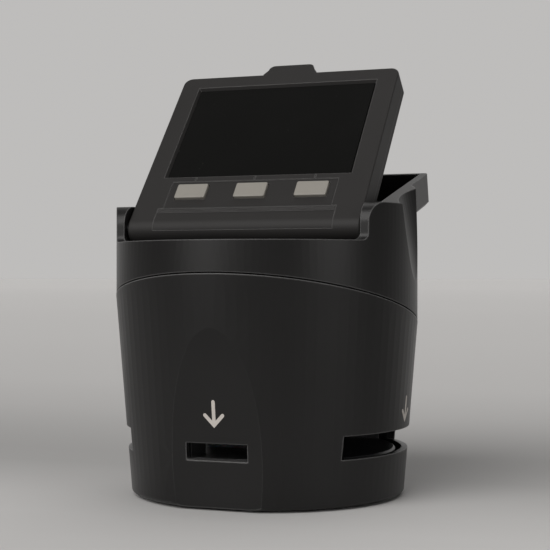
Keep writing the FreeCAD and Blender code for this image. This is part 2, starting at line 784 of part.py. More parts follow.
def make_upper_shell():
    under = -(S.tray_floor + S.deck_wall)
    ear_back = S.hinge_y + ((S.ear_top - S.hinge_z) * slope_cos - S.tray_rim) / slope_sin
    collar = rod("collar_outside", S.collar_radius, top - S.collar_foot,
                 0, -S.collar_shift, S.collar_foot)
    envelope = prism("collar_side_view", "YZ_Plane", [
        (-far, S.collar_foot - S.overrun), (far, S.collar_foot - S.overrun),
        (far, slope_height(far, S.tray_rim)), (ear_back, S.ear_top),
        (S.ear_round - S.ear_front, S.ear_top, S.ear_round),
        (-S.ear_front, S.ear_top - S.ear_round), (-far, S.ear_top - S.ear_round),
    ], 2 * far, both=True)
    outside = cut("top_arched", fused("top_whole", common("collar_eared", collar, envelope),
                                      make_tray_block()), below_seam("seam_high", S.seam_gap))

    # the room under the deck, kept a wall away from the scoops
    shelf_under = S.hinge_z - S.barrel_radius - S.trough_clearance - S.deck_wall
    step = S.hinge_y + S.deck_step
    step_end = step + S.deck_wall
    room = prism("room_side_view", "YZ_Plane", [
        (-far, S.collar_foot - S.overrun), (far, S.collar_foot - S.overrun),
        (far, slope_height(far, under)), (step_end, slope_height(step_end, under)),
        (step, shelf_under), (-far, shelf_under),
    ], 2 * far, both=True)
    tube = rod("room_round", inner_wall, top - S.collar_foot, 0, -S.collar_shift, S.collar_foot)
    room = cut("room", common("room_whole", room, tube),
               scoop("room_scoop_right", 1, S.collar_wall), scoop("room_scoop_left", -1, S.collar_wall))

    lip_outside = cone_within("lip_outside", S.lip_clearance)
    lip_inside = cone_within("lip_inside", S.lip_clearance + S.lip_wall)
    lip = cut("lip", common("lip_round", lip_outside, below_seam("lip_top", S.lip_root)),
              below_seam("lip_foot", -S.lip_reach), lip_inside)

    # thicker wall behind the socket recess
    port_inner = S.port_recess_y - S.port_wall
    port_half = S.port_recess_half_width + S.port_margin
    port_wall = common("port_wall", collar, block(
        "port_block", -port_half, port_half, port_inner, far,
        S.port_recess_low - S.port_margin, S.port_recess_high + S.port_margin))

    # bosses for the main board and the rib behind the power switch hang from the deck
    bosses = []
    pilots = []
    for index, (x, y) in enumerate(main_boss_places(), start=1):
        deck = slope_height(y, under + S.deck_wall / 2)
        bosses.append(rod("main_boss_%d" % index, S.main_boss_radius, deck - board_top, x, y, board_top))
        pilots.append(rod("main_pilot_%d" % index, S.screw_radius + S.screw_slack,
                          S.screw_bite + S.screw_slack, x, y, board_top))
    rib_face = power_board_y - S.board_thickness
    rib = block("power_rib", -S.power_board_half_width, S.power_board_half_width,
                rib_face - S.power_rib, rib_face, S.power_board_low,
                slope_height(rib_face, under + S.deck_wall / 2))

    # what is taken away: tray, rim notch, trough, tab notch, bores and socket mouths
    tray = new_body("tray_inside")
    plan = rectangle(new_sketch(tray, "XY_Plane", -S.tray_floor),
                     -S.tray_inner_half_width, S.tray_inner_half_width,
                     0, S.tray_length - S.tray_rear_wall)
    swept(tray, "Pad", plan, S.tray_length)
    on_hinge(tray, S.tray_angle)
    tab = new_body("tab_notch")
    tab_half = S.tab_base_half_width + S.tab_clearance
    plan = rectangle(new_sketch(tab, "XY_Plane", S.barrel_radius - S.tab_thickness - S.tab_clearance),
                     -tab_half, tab_half, S.tray_length / 2, S.tray_length + S.overrun)
    swept(tab, "Pad", plan, S.tray_length)
    on_hinge(tab, S.tray_angle)
    corner = S.rim_corner_round
    inner = S.tray_inner_half_width
    notch = prism("rim_notch", "XZ_Plane", [
        (corner - inner, S.rim_height), (inner - corner, S.rim_height, corner),
        (inner, S.rim_height + corner), (inner, top),
        (-inner, top), (-inner, S.rim_height + corner, corner),
    ], far, height=-S.hinge_y)
    trough = rod("trough", S.barrel_radius + S.trough_clearance, 2 * inner, -inner, S.hinge_y,
                 S.hinge_z, QUARTER, (0, 1, 0))
    seat = inner + S.pin_seat
    bore = rod("pin_bore", S.pin_radius + S.pin_clearance / 5, 2 * seat, -seat, S.hinge_y, S.hinge_z,
               QUARTER, (0, 1, 0))
    recess = block("port_recess", -S.port_recess_half_width, S.port_recess_half_width,
                   S.port_recess_y, far, S.port_recess_low, S.port_recess_high)
    mouths = [
        block(name + "_mouth", x - half - S.port_clearance, x + half + S.port_clearance,
              port_inner - S.port_wall, far, board_top - S.port_clearance,
              board_top + height + S.port_clearance)
        for name, x, half, height, depth in sockets()
    ]
    power_bore = rod("power_bore", S.power_radius + S.button_clearance, far, 0, power_board_y,
                     S.power_height, -QUARTER, (1, 0, 0))
    body = fused("upper_shell_whole", cut("top_hollow", outside, room), lip, port_wall, rib, *bosses)
    return keep(cut("upper_shell", body, tray, notch, trough, tab, bore, recess, power_bore,
                    scoop("scoop_right", 1, 0), scoop("scoop_left", -1, 0), *mouths, *pilots))


# Base plate with its screws and rubber feet.

def make_base():
    radius = shell_radius(S.foot_height) - S.shell_wall - S.plate_clearance
    plate = rod("plate_disc", radius, S.plate_thickness, 0, 0, S.foot_height)
    cuts = [facet_block("plate_front", S.shell_wall + S.plate_clearance)]
    for index in range(4):
        number = str(index + 1)
        x, y = corner_place(index, S.base_screw_circle)
        cuts.append(rod("plate_hole_" + number, S.screw_radius + S.screw_slack, far, x, y, -S.overrun))
        cuts.append(rod("plate_sink_" + number, S.screw_head_radius + S.screw_slack,
                        S.screw_head + S.screw_slack, x, y, S.foot_height))
        x_sign, y_sign = ((1, 0), (0, 1), (-1, 0), (0, -1))[index]
        foot_x, foot_y = x_sign * S.foot_circle, y_sign * S.foot_circle
        cuts.append(rod("plate_foot_seat_" + number, S.foot_radius + S.screw_slack, S.foot_seat,
                        foot_x, foot_y, S.foot_height))
        make_foot(number, foot_x, foot_y)
        make_screw("base_screw_" + number, x, y, S.foot_height + S.screw_slack,
                   S.plate_thickness - S.screw_head - S.screw_slack + S.base_screw_bite)
    return keep(cut("base_plate", plate, *cuts))


def make_foot(number, x, y):
    body = new_body("foot_" + number)
    edge = S.foot_edge_round
    profile = outline(new_sketch(body, "XZ_Plane"), [
        (0, 0), (S.foot_radius - edge, 0, edge), (S.foot_radius, edge),
        (S.foot_radius, S.foot_height + S.foot_seat), (0, S.foot_height + S.foot_seat),
    ])
    turned(body, "Revolution", profile)
    return keep(place(body, x, y, 0))


def screw_profile(sketch, bite):
    return outline(sketch, [
        (0, 0), (S.screw_head_radius - S.screw_head / 3, 0, S.screw_head / 3),
        (S.screw_head_radius, S.screw_head / 3), (S.screw_head_radius, S.screw_head),
        (S.screw_radius, S.screw_head), (S.screw_radius, S.screw_head + bite),
        (0, S.screw_head + bite),
    ])


def make_screw(label, x, y, z, bite):
    """A pan head screw, head down, with its shank pointing up."""
    body = new_body(label)
    turned(body, "Revolution", screw_profile(new_sketch(body, "XZ_Plane"), bite))
    return keep(place(body, x, y, z))


# Film guides: the lower one is a disc with the lamp house under it and four corner blocks
# that leave both channels free; the upper one is the roof over them.

def make_lower_guide():
    flange_low = S.channel_floor - S.guide_flange
    block_radius = S.guide_radius - S.guide_edge_chamfer
    disc = new_body("guide_disc")
    profile = outline(new_sketch(disc, "XZ_Plane"), [
        (0, flange_low), (S.guide_radius, flange_low),
        (S.guide_radius, S.channel_floor - S.guide_edge_chamfer), (block_radius, S.channel_floor),
        (block_radius, S.channel_roof), (0, S.channel_roof),
    ])
    turned(disc, "Revolution", profile)
    length = S.lamp_house_half_length
    width = S.lamp_house_half_width
    wall = S.lamp_house_wall
    house = block("lamp_house", -length, length, -width, width, plate_top, S.channel_floor)
    room = block("lamp_room", wall - length, length - wall, wall - width, width - wall,
                 plate_top - S.overrun, flange_low)
    side = block("guide_side_channel", -far, far, -S.channel_half_width, S.channel_half_width,
                 S.channel_floor, S.channel_roof + S.overrun)
    small = block("guide_small_channel", -S.small_channel_half_width, S.small_channel_half_width,
                  -far, far, S.small_channel_floor, S.channel_roof + S.overrun)
    seat_length = S.film_window_half_length + S.diffuser_seat
    seat_width = S.film_window_half_width + S.diffuser_seat
    seat_low = S.channel_floor - S.diffuser_thickness
    window = block("lamp_window", -S.film_window_half_length, S.film_window_half_length,
                   -S.film_window_half_width, S.film_window_half_width, plate_top, far)
    seat = block("diffuser_seat", -seat_length, seat_length, -seat_width, seat_width, seat_low, far)
    front = facet_block("guide_front", S.shell_wall + S.plate_clearance)
    keep(cut("film_guide_lower", fused("guide_and_house", disc, house),
             room, side, small, window, seat, front))

    play = S.trim_clearance
    keep(block("backlight_diffuser", play - seat_length, seat_length - play,
               play - seat_width, seat_width - play, seat_low, S.channel_floor))
    keep(block("backlight_board", wall + play - length, length - wall - play,
               wall + play - width, width - wall - play, plate_top, plate_top + S.board_thickness))
    lamp_low = plate_top + S.board_thickness
    for index in range(3):
        middle = (index - 1) * S.lamp_spacing
        keep(block("backlight_lamp_%d" % (index + 1), middle - S.lamp_half_width,
                   middle + S.lamp_half_width, -S.lamp_half_width, S.lamp_half_width,
                   lamp_low, lamp_low + S.lamp_thickness))


def make_upper_guide():
    radius = S.guide_radius - S.guide_edge_chamfer
    disc = rod("upper_guide_disc", radius, tower_foot - S.small_channel_roof, 0, 0, S.small_channel_roof)
    play = S.trim_clearance
    tongue = S.small_channel_half_width - play
    inner = S.channel_half_width + play
    low = S.small_channel_roof - S.overrun
    cuts = [
        block("tongue_side_right", tongue, far, -far, far, low, S.channel_roof),
        block("tongue_side_left", -far, -tongue, -far, far, low, S.channel_roof),
        block("tongue_gap", -far, far, -inner, inner, low, S.channel_roof),
        block("film_window", -S.film_window_half_length, S.film_window_half_length,
              -S.film_window_half_width, S.film_window_half_width, low, far),
    ]
    return keep(cut("film_guide_upper", disc, *cuts))


# Lens tower: a tapering hood over the film window that carries the lens and the sensor.

def make_tower():
    body = new_body("lens_tower")
    length = S.tower_half_length
    width = S.tower_half_width
    flange = S.tower_flange
    low = rectangle(new_sketch(body, "XY_Plane"), -length - flange, length + flange,
                    -width - flange, width + flange)
    swept(body, "Pad", low, S.tower_plate)
    loft(body, "Additive", 0, length, width, S.tower_height, S.tower_top_half_width)
    wall = S.tower_wall
    loft(body, "Subtractive", 0, length - wall, width - wall,
         S.tower_height - S.tower_plate, S.tower_top_half_width - wall)
    bore = circle(new_sketch(body, "XY_Plane", S.tower_height), 0, 0,
                  S.lens_radius + S.lens_barrel_wall + S.trim_clearance)
    swept(body, "Pocket", bore, S.tower_plate + S.overrun / 2)
    posts = new_sketch(body, "XY_Plane", S.tower_height)
    for x_sign in (-1, 1):
        for y_sign in (-1, 1):
            circle(posts, x_sign * S.sensor_post_place, y_sign * S.sensor_post_place,
                   S.sensor_post_radius)
    swept(body, "Pad", posts, S.sensor_post_height)
    return keep(place(body, 0, 0, tower_foot))


def loft(body, kind, low, low_length, low_width, high, high_half):
    """Add or take away a tapering block between two rectangles."""
    foot = rectangle(new_sketch(body, "XY_Plane", low), -low_length, low_length, -low_width, low_width)
    head = rectangle(new_sketch(body, "XY_Plane", high), -high_half, high_half, -high_half, high_half)
    feature = body.newObject("PartDesign::" + kind + "Loft", body.Label + "_loft")
    feature.Profile = foot
    feature.Sections = [head]
    feature.Ruled = True
    return feature


def make_lens():
    outer = S.lens_radius + S.lens_barrel_wall
    inner = S.lens_radius - S.lens_rest
    low = -S.lens_barrel_drop
    high = S.lens_barrel_length - S.lens_barrel_drop
    seat = S.lens_edge + S.lens_rest
    body = new_body("lens_barrel")
    profile = outline(new_sketch(body, "XZ_Plane"), [
        (S.lens_radius, low), (outer, low), (outer, 0), (S.lens_collar_radius, 0),
        (S.lens_collar_radius, S.lens_collar), (outer, S.lens_collar), (outer, high),
        (S.lens_radius, high), (S.lens_radius, high - seat), (inner, high - seat),
        (inner, low + seat), (S.lens_radius, low + seat),
    ])
    turned(body, "Revolution", profile)
    plate = tower_foot + S.tower_height
    keep(place(body, 0, 0, plate))
    make_lens_element("lens_element_lower", plate + low + seat - S.lens_edge / 2)
    make_lens_element("lens_element_upper", plate + high - seat + S.lens_edge / 2)


def make_lens_element(label, height):
    """A round lens with two bulging faces inside a flat rim."""
    rim = S.lens_radius - S.trim_clearance
    bulge = S.lens_radius - S.lens_rest - S.trim_clearance
    half = S.lens_edge / 2
    swell = S.lens_bulge_radius - root(S.lens_bulge_radius * S.lens_bulge_radius - bulge * bulge)
    body = new_body(label)
    profile = outline(new_sketch(body, "XZ_Plane"), [
        (0, -half - swell, S.lens_bulge_radius), (bulge, -half), (rim, -half), (rim, half),
        (bulge, half, S.lens_bulge_radius), (0, half + swell),
    ])
    turned(body, "Revolution", profile)
    return keep(place(body, 0, 0, height))


def make_sensor():
    half = S.tower_top_half_width
    keep(block("sensor_board", -half, half, -half, half, sensor_height,
               sensor_height + S.board_thickness))
    keep(block("image_sensor", -S.sensor_half_length, S.sensor_half_length, -S.sensor_half_width,
               S.sensor_half_width, sensor_height - S.sensor_thickness, sensor_height))


# Main board with its screws and sockets, and the power button with its switch.

def make_main_board():
    half = S.main_board_half_width
    tail = S.main_board_tail_half_width
    board = prism("main_board", "XY_Plane", [
        (-half, -S.main_board_front), (half, -S.main_board_front), (half, S.main_board_shoulder),
        (tail, S.main_board_rear), (-tail, S.main_board_rear), (-half, S.main_board_shoulder),
    ], S.board_thickness)
    holes = new_sketch(board, "XY_Plane", S.board_thickness)
    for index, (x, y) in enumerate(main_boss_places(), start=1):
        circle(holes, x, y, S.screw_radius + S.screw_slack)
        make_screw("board_screw_%d" % index, x, y, S.main_board_height - S.screw_head,
                   S.board_thickness + S.screw_bite)
    swept(board, "Pocket", holes, S.board_thickness + S.overrun)
    keep(place(board, 0, 0, S.main_board_height))
    for name, x, half, height, depth in sockets():
        make_socket(name, x, half, height, depth)


def make_socket(name, x, half, height, depth):
    """A sheet metal or moulded box on the board, open towards the rear."""
    wall = S.socket_wall
    start = S.port_recess_y - depth
    body = block(name + "_outside", x - half, x + half, start, S.port_recess_y,
                 board_top, board_top + height)
    mouth = block(name + "_inside", x - half + wall, x + half - wall, start + 2 * wall, far,
                  board_top + wall, board_top + height - wall)
    return keep(cut(name, body, mouth))


def make_power_button():
    length = S.collar_radius - S.collar_shift + S.power_stand - power_flange_y
    edge = S.power_flange / 2
    body = new_body("power_button")
    profile = outline(new_sketch(body, "XZ_Plane"), [
        (0, 0), (power_flange_radius, 0), (power_flange_radius, S.power_flange),
        (S.power_radius, S.power_flange), (S.power_radius, length - edge, edge),
        (S.power_radius - edge, length), (0, length),
    ])
    turned(body, "Revolution", profile)
    keep(place(body, 0, power_flange_y, S.power_height, -QUARTER))
    half = S.power_switch_half_width
    keep(block("power_switch", -half, half, power_board_y, power_switch_y,
               S.power_height - half, S.power_height + half))
    keep(block("power_board", -S.power_board_half_width, S.power_board_half_width,
               power_board_y - S.board_thickness, power_board_y,
               S.power_board_low, S.power_height + half + S.port_margin))


# Display: every piece is drawn flat, x across, y up the panel and z towards its front, with
# the hinge axis as the origin, and is then turned up to the angle that it is seen at.

def on_display(body):
    return keep(on_hinge(body, S.display_angle))


def hinge_cover_outline(sketch, start, wall, wrap):
    """The strip that starts flat on the panel's front and bends down round its barrel."""
    outer = S.barrel_radius
    inner = outer - wall
    end_cos = -sine(wrap)
    end_sin = cosine(wrap)
    return outline(sketch, [
        (start, outer), (start, inner), (0, inner, inner), (inner * end_cos, inner * end_sin),
        (outer * end_cos, outer * end_sin, -outer), (0, outer),
    ])


def panel_screw_places():
    """Where the four screws of the rear cover stand on the panel."""
    rows = (S.display_screw_low, S.display_screw_high)
    return [(side * S.display_screw_x, y) for y in rows for side in (-1, 1)]


def make_display_frame():
    half = S.panel_half_width
    long = S.panel_length
    corner = S.panel_corner_round
    body = new_body("display_frame")
    plan = outline(new_sketch(body, "XY_Plane", panel_split), [
        (-half, 0), (half, 0), (half, long - corner, corner), (half - corner, long),
        (corner - half, long, corner), (-half, long - corner),
    ])
    swept(body, "Pad", plan, panel_front - panel_split)
    tab_side = S.tab_top_half_width + S.tab_round / 2
    tab_top = long + S.tab_length
    plan = outline(new_sketch(body, "XY_Plane", panel_front - S.tab_thickness), [
        (-S.tab_base_half_width, long - S.panel_side_wall),
        (S.tab_base_half_width, long - S.panel_side_wall), (S.tab_base_half_width, long),
        (tab_side, tab_top - S.tab_round, S.tab_round), (tab_side - S.tab_round, tab_top),
        (S.tab_round - tab_side, tab_top, S.tab_round), (-tab_side, tab_top - S.tab_round),
        (-S.tab_base_half_width, long),
    ])
    swept(body, "Pad", plan, S.tab_thickness)
    barrel = swept(body, "Pad", circle(new_sketch(body, "YZ_Plane"), 0, 0, S.barrel_radius),
                   2 * half, both=True)
    rim = edges_where(barrel, lambda middle, box: near(box.ZMin, panel_front) and near(box.ZMax, panel_front)
                      and (middle.y > long.value - corner.value or abs(middle.x) > half.value - corner.value))
    dressed(body, "Fillet", barrel, rim, S.panel_edge_round)

    # the room behind the front wall, with a boss for each screw of the rear cover
    wall = S.panel_side_wall
    room = rectangle(new_sketch(body, "XY_Plane", panel_split), wall - half, half - wall,
                     S.panel_cavity_start, long - wall)
    swept(body, "Pocket", room, glass_front - panel_split, back=True)
    bosses = new_sketch(body, "XY_Plane", glass_front)
    pilots = new_sketch(body, "XY_Plane", panel_split)
    for x, y in panel_screw_places():
        circle(bosses, x, y, S.display_boss_radius)
        circle(pilots, x, y, S.screw_radius + S.screw_slack)
    swept(body, "Pad", bosses, glass_front - panel_split, back=True)
    swept(body, "Pocket", pilots, S.screw_bite, back=True)

    # window with sloping walls, button openings in their shallow field, three ticks
    face = rectangle(new_sketch(body, "XY_Plane", panel_front), -S.window_half_width,
                     S.window_half_width, S.window_start, S.window_end)
    bevel = S.window_bevel
    back = rectangle(new_sketch(body, "XY_Plane", glass_front), bevel - S.window_half_width,
                     S.window_half_width - bevel, S.window_start + bevel, S.window_end - bevel)
    opening = body.newObject("PartDesign::SubtractiveLoft", "display_opening")
    opening.Profile = face
    opening.Sections = [back]
    opening.Ruled = True
    field = rectangle(new_sketch(body, "XY_Plane", panel_front), -S.field_half_width,
                      S.field_half_width, S.field_start, S.field_end)
    swept(body, "Pocket", field, S.field_depth)
    holes = new_sketch(body, "XY_Plane", panel_front)
    ticks = new_sketch(body, "XY_Plane", panel_front)
    clear = S.button_clearance
    tick_low = (S.field_end + S.window_start - S.tick_length) / 2
    for index in (-1, 0, 1):
        x = index * S.button_spacing
        rectangle(holes, x - S.button_half_width - clear, x + S.button_half_width + clear,
                  S.button_line - S.button_half_height - clear,
                  S.button_line + S.button_half_height + clear)
        rectangle(ticks, x - S.tick_width / 2, x + S.tick_width / 2, tick_low, tick_low + S.tick_length)
    swept(body, "Pocket", holes, S.panel_front_wall + S.overrun / 6)
    swept(body, "Pad", ticks, S.tick_height)

    # seat of the hinge cover and the two bores for the hinge pins
    seat = hinge_cover_outline(new_sketch(body, "YZ_Plane"), S.hinge_cover_start + S.trim_clearance,
                               S.hinge_cover_wall + S.trim_clearance,
                               S.hinge_cover_angle + S.hinge_cover_play_angle)
    swept(body, "Pocket", seat, 2 * (S.hinge_cover_half_width + S.trim_clearance), both=True)
    for side in (-1, 1):
        bore = circle(new_sketch(body, "YZ_Plane", side * half), 0, 0, S.pin_radius + S.pin_clearance)
        swept(body, "Pocket", bore, S.pin_grip, back=side < 0)
    return on_display(body)


def make_display_trim():
    cover = new_body("hinge_cover")
    strip = hinge_cover_outline(new_sketch(cover, "YZ_Plane"), S.hinge_cover_start,
                                S.hinge_cover_wall, S.hinge_cover_angle)
    swept(cover, "Pad", strip, 2 * S.hinge_cover_half_width, both=True)
    on_display(cover)

    # rear cover, bevelled on its back, hollow inside and sunk for its screws
    half = S.cover_half_width
    side_wall = S.panel_side_wall
    body = prism("display_rear_cover", "YZ_Plane", [
        (S.cover_start, panel_split), (S.cover_start + S.cover_side_bevel, panel_back),
        (S.panel_length - S.cover_top_bevel, panel_back),
        (S.panel_length - S.panel_edge_round, panel_split),
    ], 2 * half, both=True)
    sides = edges_where(body.Tip, lambda middle, box: near(middle.z, panel_back)
                        and near(abs(middle.x), half))
    dressed(body, "Chamfer", body.Tip, sides, S.cover_side_bevel)
    hollow_half = S.display_screw_x - S.display_boss_radius - S.trim_clearance
    hollow = rectangle(new_sketch(body, "XY_Plane", panel_split), -hollow_half, hollow_half,
                       S.panel_cavity_start, S.panel_length - S.cover_hollow_inset)
    swept(body, "Pocket", hollow, S.cover_hollow)
    holes = new_sketch(body, "XY_Plane", panel_split)
    sinks = new_sketch(body, "XY_Plane", panel_back)
    for index, (x, y) in enumerate(panel_screw_places(), start=1):
        circle(holes, x, y, S.screw_radius + S.screw_slack)
        circle(sinks, x, y, S.screw_head_radius + S.screw_slack)
        make_panel_screw(index, x, y)
    swept(body, "Pocket", holes, S.cover_thickness + S.overrun / 6)
    swept(body, "Pocket", sinks, S.screw_head + S.screw_slack, back=True)
    on_display(body)


def make_panel_screw(index, x, y):
    """A screw drawn in the display's frame, head towards the back."""
    body = new_body("display_screw_%d" % index)
    sketch = new_sketch(body, "XZ_Plane")
    z = panel_back + S.screw_slack
    for letter, size in zip("xyz", (x, z, -y)):
        sketch.setExpression("AttachmentOffset.Base." + letter, as_size(size).text)
    sketch.AttachmentOffset = Placement(Vector(x.value, z.value, -y.value), Rotation())
    bite = S.cover_thickness - S.screw_head - S.screw_slack + S.screw_bite - S.screw_slack
    turned(body, "Revolution", screw_profile(sketch, bite))
    on_display(body)


def plate_on_display(label, half, low, high, back, thickness):
    """A flat rectangular piece in the display's frame."""
    points = [(-half, low), (half, low), (half, high), (-half, high)]
    return on_display(prism(label, "XY_Plane", points, thickness, height=back))


def make_display_inside():
    low = S.window_start - S.glass_margin
    high = S.window_end + S.glass_margin
    glass_back = glass_front - S.glass_thickness
    plate_on_display("display_window", S.glass_half_width, low, high, glass_back, S.glass_thickness)
    plate_on_display("lcd_module", S.glass_half_width, low, high, glass_back - S.lcd_thickness,
                     S.lcd_thickness)
    board_back = panel_split - S.cover_hollow
    board_front = board_back + S.board_thickness
    plate_on_display("display_board", S.button_board_half_width,
                     S.button_line - S.button_board_half_height,
                     S.button_line + S.button_board_half_height, board_back, S.board_thickness)
    for index, name in ((-1, "left"), (0, "middle"), (1, "right")):
        x = index * S.button_spacing
        make_function_button(name, x)
        half = S.switch_half_width
        points = [
            (x - half, S.button_line - half), (x + half, S.button_line - half),
            (x + half, S.button_line + half), (x - half, S.button_line + half),
        ]
        on_display(prism("button_switch_" + name, "XY_Plane", points, switch_top - board_front,
                         height=board_front))


def make_function_button(name, x):
    """A rounded key with a flange that holds it behind the panel's front wall."""
    body = new_body("function_button_" + name)
    width = S.button_half_width
    height = S.button_half_height
    line = S.button_line
    flange = S.button_flange
    plan = rectangle(new_sketch(body, "XY_Plane", button_flange_low), x - width - flange,
                     x + width + flange, line - height - flange, line + height + flange)
    swept(body, "Pad", plan, flange)
    cap = new_sketch(body, "XY_Plane", button_flange_low + flange)
    points = rounded(width, line - height, line + height, S.button_corner_round)
    outline(cap, [(x + point[0],) + point[1:] for point in points])
    pad = swept(body, "Pad", cap, panel_front + S.button_stand - button_flange_low - flange)
    crown = panel_front + S.button_stand
    rim = edges_where(pad, lambda middle, box: near(box.ZMin, crown) and near(box.ZMax, crown))
    dressed(body, "Fillet", pad, rim, S.button_edge_round)
    on_display(body)


def make_hinge_pins():
    """Two pins held by the ears; a collar on each fills the gap beside the barrel."""
    end = S.tray_inner_half_width + S.pin_seat - S.screw_slack
    collar_in = S.tray_inner_half_width - S.pin_collar
    start = S.panel_half_width - S.pin_grip + S.overrun / 6
    for name, side in (("left", -1), ("right", 1)):
        body = new_body("hinge_pin_" + name)
        profile = outline(new_sketch(body, "XZ_Plane"), [
            (0, start), (S.pin_radius, start), (S.pin_radius, collar_in),
            (S.pin_collar_radius, collar_in), (S.pin_collar_radius, S.tray_inner_half_width),
            (S.pin_radius, S.tray_inner_half_width), (S.pin_radius, end), (0, end),
        ])
        turned(body, "Revolution", profile)
        keep(place(body, 0, S.hinge_y, S.hinge_z, side * QUARTER, (0, 1, 0)))


make_lower_shell()
make_upper_shell()
make_base()
make_lower_guide()
make_upper_guide()
make_tower()
make_lens()
make_sensor()
make_main_board()
make_power_button()
make_hinge_pins()
make_display_frame()
make_display_trim()
make_display_inside()
doc.recompute()

failed = [item.Label for item in doc.Objects if {"Invalid", "Error"} & set(item.State)]
if failed:
    raise RuntimeError("failed objects: " + ", ".join(failed))
for node in nodes:
    if node.Shape.isNull() or not node.Shape.isValid() or not node.Shape.Solids:
        raise RuntimeError("no valid solid in " + node.Label)

os.makedirs("parts", exist_ok=True)
for node in nodes:
    node.Shape.exportStep("parts/" + node.Label + ".step")
    box = node.Shape.BoundBox
    print("%-24s %d solid(s) %10.1f mm3  x %.2f %.2f  y %.2f %.2f  z %.2f %.2f" % (
        node.Label, len(node.Shape.Solids), node.Shape.Volume,
        box.XMin, box.XMax, box.YMin, box.YMax, box.ZMin, box.ZMax))
print(len(nodes), "pieces")
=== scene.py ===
import bmesh
import bpy
import math
from mathutils import Matrix, Vector
from mathutils.bvhtree import BVHTree


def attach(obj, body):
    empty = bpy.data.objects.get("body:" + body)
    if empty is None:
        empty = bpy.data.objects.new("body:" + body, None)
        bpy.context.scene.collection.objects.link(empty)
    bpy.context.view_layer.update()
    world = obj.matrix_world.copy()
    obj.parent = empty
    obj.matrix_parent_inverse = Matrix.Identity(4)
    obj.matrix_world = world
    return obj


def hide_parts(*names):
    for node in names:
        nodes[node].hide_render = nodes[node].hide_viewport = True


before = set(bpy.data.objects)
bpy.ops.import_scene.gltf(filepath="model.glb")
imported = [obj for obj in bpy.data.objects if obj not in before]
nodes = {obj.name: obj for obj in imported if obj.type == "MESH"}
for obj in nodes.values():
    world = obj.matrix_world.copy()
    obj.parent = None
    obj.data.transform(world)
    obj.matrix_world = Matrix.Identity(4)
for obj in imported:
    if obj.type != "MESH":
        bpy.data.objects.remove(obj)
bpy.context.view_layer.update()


# Lower shell: an injection moulded tub in matt black ABS. The mould's spark eroded
# texture gives it a fine grain, and its edges carry a painted highlight, a lighter grey
# where they round off. The two mouths of the wide channel get their full width here.

def new_finish(name, specular=0.5):
    """A new material, its node tree, its shader and the place on the object."""
    material = bpy.data.materials.new(name)
    material.use_nodes = True
    tree = material.node_tree
    shader = tree.nodes["Principled BSDF"]
    shader.inputs["Specular IOR Level"].default_value = specular
    place = tree.nodes.new("ShaderNodeTexCoord").outputs["Object"]
    return material, tree, shader, place


def noise(tree, place, scale, detail=2):
    """Cloudy noise from 0 to 1."""
    clouds = tree.nodes.new("ShaderNodeTexNoise")
    clouds.inputs["Scale"].default_value = scale
    clouds.inputs["Detail"].default_value = detail
    tree.links.new(place, clouds.inputs["Vector"])
    return clouds.outputs["Fac"]


def between(tree, value, low, high, start=0, end=1):
    """A value that goes from low to high while the given one goes from start to end."""
    spread = tree.nodes.new("ShaderNodeMapRange")
    spread.inputs["From Min"].default_value = start
    spread.inputs["From Max"].default_value = end
    spread.inputs["To Min"].default_value = low
    spread.inputs["To Max"].default_value = high
    tree.links.new(value, spread.inputs["Value"])
    return spread.outputs["Result"]


def shade(colour, factor):
    """A colour made lighter or darker."""
    return [part * factor for part in colour]


def mixed(tree, share, first, second):
    """Two colours mixed by a share. The first may also come from another node."""
    mix = tree.nodes.new("ShaderNodeMixRGB")
    tree.links.new(share, mix.inputs["Fac"])
    if isinstance(first, bpy.types.NodeSocket):
        tree.links.new(first, mix.inputs["Color1"])
    else:
        mix.inputs["Color1"].default_value = (*first, 1)
    mix.inputs["Color2"].default_value = (*second, 1)
    return mix.outputs["Color"]


def relief(tree, height, strength, depth):
    """A node that raises fine relief out of a height."""
    bump = tree.nodes.new("ShaderNodeBump")
    bump.inputs["Strength"].default_value = strength
    bump.inputs["Distance"].default_value = depth
    tree.links.new(height, bump.inputs["Height"])
    return bump


def moulded_plastic(name, colour, roughness, grain=0.35, edge=0.0005, edge_highlight=0.5, specular=0.5):
    """Moulded plastic: fine grain, a slow drift in gloss and tone, and a painted highlight along its
    edges.
    """
    material, tree, shader, place = new_finish(name, specular)
    drift = noise(tree, place, scale=35, detail=3)
    gloss_drift = 0.05
    gloss = between(tree, drift, roughness - gloss_drift, roughness + gloss_drift)
    tree.links.new(gloss, shader.inputs["Roughness"])

    rounding = tree.nodes.new("ShaderNodeBevel")
    rounding.samples = 4
    rounding.inputs["Radius"].default_value = edge
    bump = relief(tree, noise(tree, place, scale=2600), strength=grain, depth=0.00004)
    tree.links.new(rounding.outputs["Normal"], bump.inputs["Normal"])
    tree.links.new(bump.outputs["Normal"], shader.inputs["Normal"])

    # a painted highlight lightens the colour at an edge, where the rounded normal leaves the flat one
    facing = tree.nodes.new("ShaderNodeNewGeometry")
    agreement = tree.nodes.new("ShaderNodeVectorMath")
    agreement.operation = "DOT_PRODUCT"
    tree.links.new(rounding.outputs["Normal"], agreement.inputs[0])
    tree.links.new(facing.outputs["Normal"], agreement.inputs[1])
    highlight_share = between(tree, agreement.outputs["Value"], 0, edge_highlight, start=0.985, end=0.88)

    tone = mixed(tree, drift, shade(colour, 0.88), shade(colour, 1.12))
    # the edges' lighter grey is a painted highlight laid over the plastic's tone
    highlight_grey = 0.17
    highlight_colour = [min(1, part * 3 + highlight_grey) for part in colour]
    tree.links.new(mixed(tree, highlight_share, tone, highlight_colour), shader.inputs["Base Color"])
    return material


def dress(material, *names):
    """Give the material to solids that keep their own shape."""
    for name in names:
        mesh = nodes[name].data
        mesh.materials.clear()
        mesh.materials.append(material)


def placed(name, data):
    """A new object in the scene, at the origin."""
    item = bpy.data.objects.new(name, data)
    bpy.context.scene.collection.objects.link(item)
    return item


